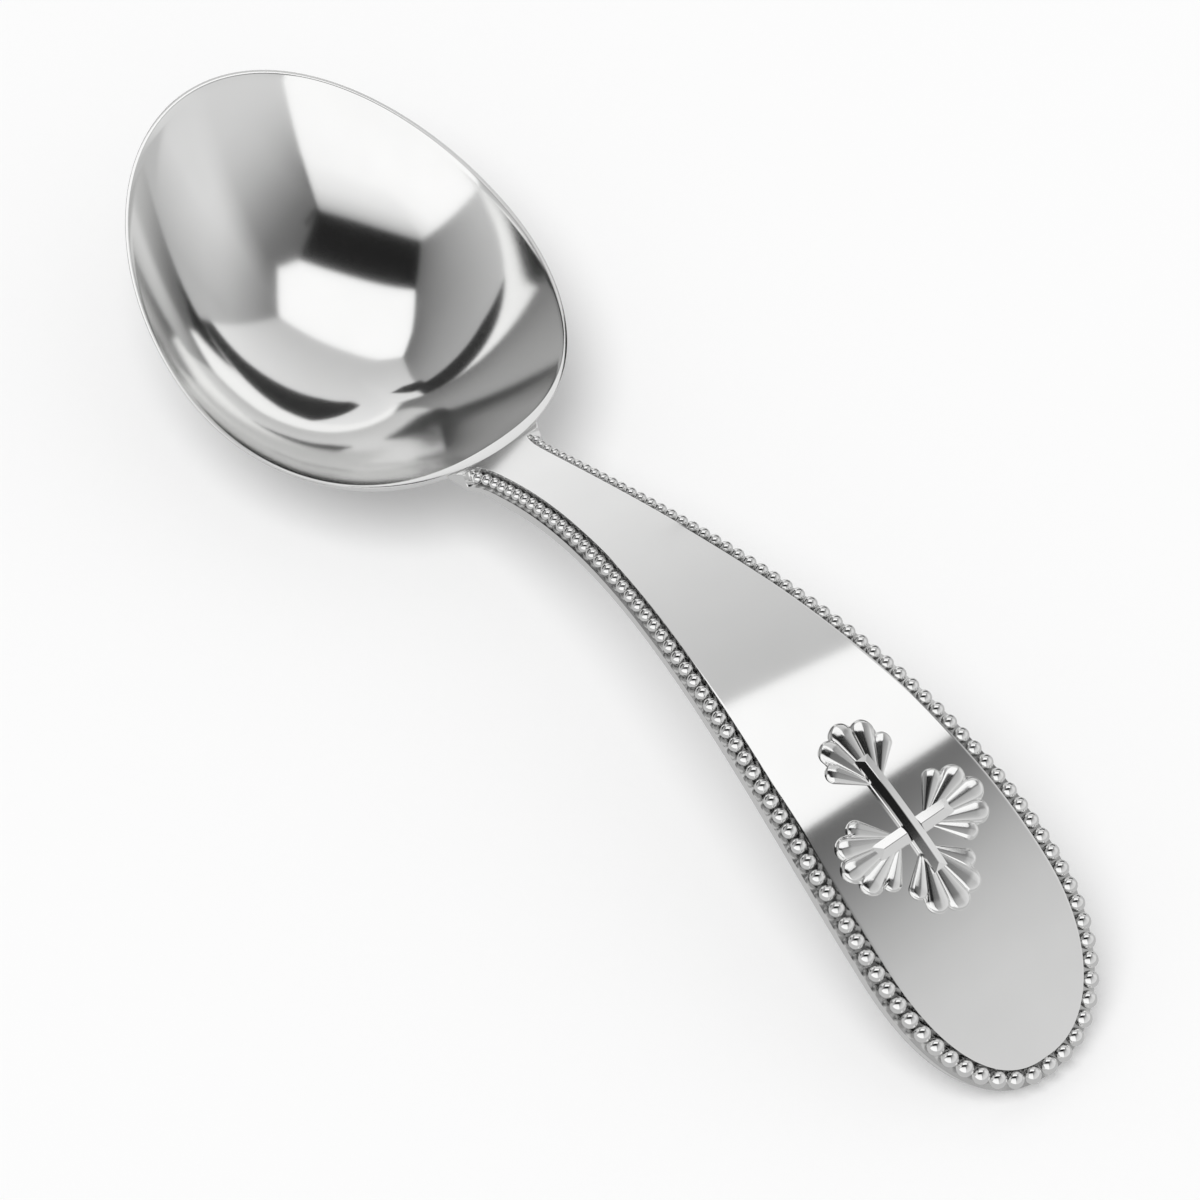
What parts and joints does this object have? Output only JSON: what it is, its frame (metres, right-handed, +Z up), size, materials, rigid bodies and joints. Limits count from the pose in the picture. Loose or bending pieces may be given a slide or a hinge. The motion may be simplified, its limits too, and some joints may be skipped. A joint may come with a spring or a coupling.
{
  "type": "baby spoon",
  "caption": "Short silver feeding spoon with a deep ovoid bowl, an arched handle edged with graded beads, and an applied cross with shell-shaped ends.",
  "frame": {"origin": "middle of the spoon's box in plan, on the plane that it rests on", "axes": "+X along the spoon from the bowl's tip to the handle's end, +Y across it, +Z up"},
  "size_m": [0.1076, 0.0324, 0.0188],
  "materials": {
    "silver": "mirror-polished silver"
  },
  "bodies": {
    "root": {"bowl": "silver", "handle": "silver", "bead_border": "silver", "cross_upright": "silver", "cross_arm_left": "silver", "cross_arm_right": "silver", "fan_top": "silver", "fan_bottom": "silver", "fan_left": "silver", "fan_right": "silver"}
  },
  "joints": []
}
